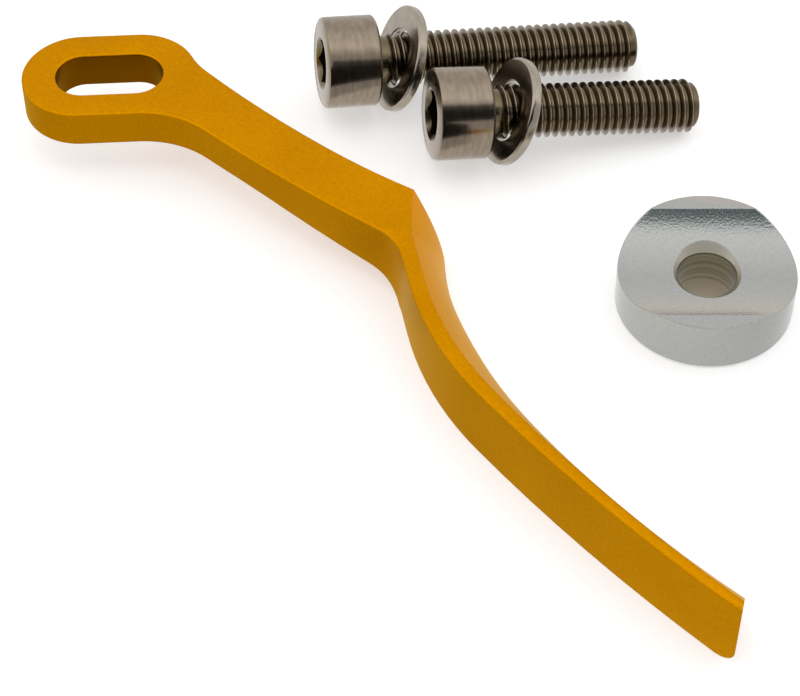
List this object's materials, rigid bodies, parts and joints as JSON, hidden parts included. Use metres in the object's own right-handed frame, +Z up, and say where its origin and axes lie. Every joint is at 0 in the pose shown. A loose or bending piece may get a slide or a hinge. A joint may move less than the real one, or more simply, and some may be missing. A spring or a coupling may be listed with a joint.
{
  "type": "chain catcher",
  "caption": "Chain catcher for a bicycle: slotted flat arm with a creased bend and curved wedge blade that stops a dropped chain, laid out with its saddle spacer, clamp screws and washers.",
  "frame": {"origin": "centre of the set's bounding box, on the surface it lies on", "axes": "+X along the arm's slot, +Y from the arm's tip towards its head, +Z up, square to the arm's flat top face"},
  "size_m": [0.0676, 0.071, 0.0097],
  "materials": {
    "gold_anodised": "satin gold-orange anodised, fine blasted grain",
    "turned_aluminium": "bright turned and milled",
    "stainless_screw": "plain stainless, rolled thread",
    "stainless_washer": "plain stainless, tumbled edges"
  },
  "bodies": {
    "root": {"catcher_arm": "gold_anodised", "saddle_spacer": "turned_aluminium", "long_bolt": "stainless_screw", "long_bolt_washer": "stainless_washer", "short_bolt": "stainless_screw", "short_bolt_washer": "stainless_washer"}
  },
  "joints": []
}
